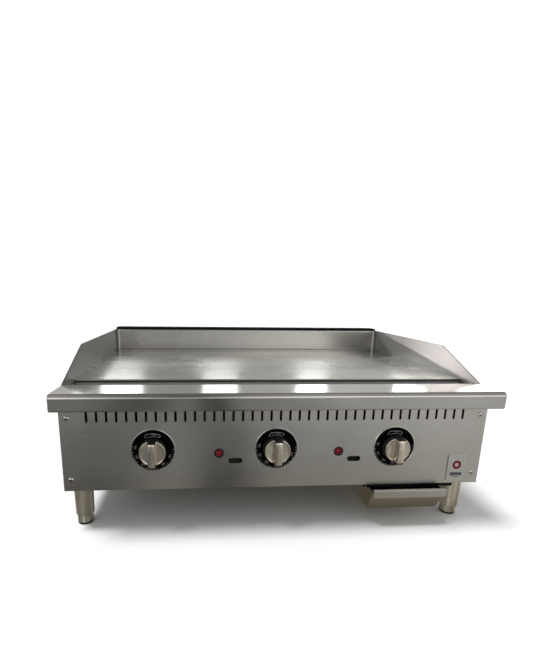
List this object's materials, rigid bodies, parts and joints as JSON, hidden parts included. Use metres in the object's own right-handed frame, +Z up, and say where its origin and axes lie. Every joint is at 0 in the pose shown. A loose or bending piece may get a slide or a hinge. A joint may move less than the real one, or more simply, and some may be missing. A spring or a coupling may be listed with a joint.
{
  "type": "countertop gas griddle",
  "caption": "Countertop gas griddle: polished flat steel plate with splash guards, bullnose ledge, grease trough and drawer, control knobs, push buttons and adjustable legs.",
  "frame": {"origin": "on the floor, at the middle of the overall box in X and Y", "axes": "+X to the right seen from the front, +Y to the rear, +Z up; the controls face -Y"},
  "size_m": [0.914, 0.726, 0.393],
  "materials": {
    "brushed_stainless": "brushed, fine horizontal grain",
    "griddle_steel": "ground and polished cooking surface",
    "black_enamel": "gloss enamel",
    "satin_nickel": "satin plated casting",
    "dial_black": "satin black with printed scale",
    "button_red": "gloss",
    "plain_steel": "mill finish",
    "fittings_brass": "turned",
    "valve_aluminium": "cast",
    "screw_zinc": "bright zinc",
    "gas_pipe": "black pipe",
    "badge_silver": "satin foil"
  },
  "bodies": {
    "casing": {"left_side_panel": "brushed_stainless", "right_side_panel": "brushed_stainless", "rear_panel": "brushed_stainless", "front_panel": "brushed_stainless", "front_ledge": "brushed_stainless", "left_splash": "brushed_stainless", "right_splash": "brushed_stainless", "rear_splash": "brushed_stainless", "grease_trough": "brushed_stainless", "grease_chute": "brushed_stainless", "bottom_pan": "plain_steel", "ledge_brackets": "plain_steel", "flue_baffle": "plain_steel", "front_burner_rail": "plain_steel", "rear_burner_rail": "plain_steel", "plate_rails": "plain_steel", "burner_1": "plain_steel", "burner_2": "plain_steel", "burner_3": "plain_steel", "air_shutters": "plain_steel", "leg_nuts": "plain_steel", "griddle_plate": "griddle_steel", "flue_cap": "black_enamel", "left_drawer_runner": "black_enamel", "right_drawer_runner": "black_enamel", "drawer_crosspiece": "black_enamel", "leg_posts": "satin_nickel", "dial_bezel_1": "dial_black", "dial_bezel_2": "dial_black", "dial_bezel_3": "dial_black", "gas_orifices": "fittings_brass", "thermocouples": "fittings_brass", "safety_valve_1": "fittings_brass", "safety_valve_2": "fittings_brass", "thermostat_bulb_1": "fittings_brass", "thermostat_bulb_2": "fittings_brass", "thermostat_bulb_3": "fittings_brass", "thermostat_1": "valve_aluminium", "thermostat_2": "valve_aluminium", "thermostat_3": "valve_aluminium", "pilot_burner_1": "valve_aluminium", "pilot_burner_2": "valve_aluminium", "front_panel_screws": "screw_zinc", "rear_panel_screws": "screw_zinc", "manifold_pipe": "gas_pipe", "gas_inlet_pipe": "gas_pipe", "badge_plate": "badge_silver"},
    "control_knob_1": {"knob_1": "satin_nickel", "knob_spindle_1": "plain_steel"},
    "control_knob_2": {"knob_2": "satin_nickel", "knob_spindle_2": "plain_steel"},
    "control_knob_3": {"knob_3": "satin_nickel", "knob_spindle_3": "plain_steel"},
    "safety_button_1": {"pilot_button_1": "button_red"},
    "safety_button_2": {"pilot_button_2": "button_red"},
    "drawer": {"grease_drawer": "brushed_stainless"},
    "front_left_adjuster": {"front_left_foot": "satin_nickel"},
    "front_right_adjuster": {"front_right_foot": "satin_nickel"},
    "rear_left_adjuster": {"rear_left_foot": "satin_nickel"},
    "rear_right_adjuster": {"rear_right_foot": "satin_nickel"}
  },
  "joints": [
    {"name": "knob_1_turn", "type": "hinge", "parent": "casing", "child": "control_knob_1", "pos_m": [-0.2676, -0.317, 0.189], "axis": [0, -1, 0], "range_deg": [0, 250]},
    {"name": "knob_2_turn", "type": "hinge", "parent": "casing", "child": "control_knob_2", "pos_m": [-0.00745, -0.317, 0.189], "axis": [0, -1, 0], "range_deg": [0, 250]},
    {"name": "knob_3_turn", "type": "hinge", "parent": "casing", "child": "control_knob_3", "pos_m": [0.2527, -0.317, 0.189], "axis": [0, -1, 0], "range_deg": [0, 250]},
    {"name": "button_1_push", "type": "slide", "parent": "casing", "child": "safety_button_1", "axis": [0, 1, 0], "range_m": [0, 0.006], "stiffness_N_per_m": 400, "springref_m": -0.004},
    {"name": "button_2_push", "type": "slide", "parent": "casing", "child": "safety_button_2", "axis": [0, 1, 0], "range_m": [0, 0.006], "stiffness_N_per_m": 400, "springref_m": -0.004},
    {"name": "drawer_slide", "type": "slide", "parent": "casing", "child": "drawer", "axis": [0, -1, 0], "range_m": [0, 0.4]},
    {"name": "front_left_foot_screw", "type": "slide", "parent": "casing", "child": "front_left_adjuster", "axis": [0, 0, -1], "range_m": [0, 0.025]},
    {"name": "front_right_foot_screw", "type": "slide", "parent": "casing", "child": "front_right_adjuster", "axis": [0, 0, -1], "range_m": [0, 0.025]},
    {"name": "rear_left_foot_screw", "type": "slide", "parent": "casing", "child": "rear_left_adjuster", "axis": [0, 0, -1], "range_m": [0, 0.025]},
    {"name": "rear_right_foot_screw", "type": "slide", "parent": "casing", "child": "rear_right_adjuster", "axis": [0, 0, -1], "range_m": [0, 0.025]}
  ]
}
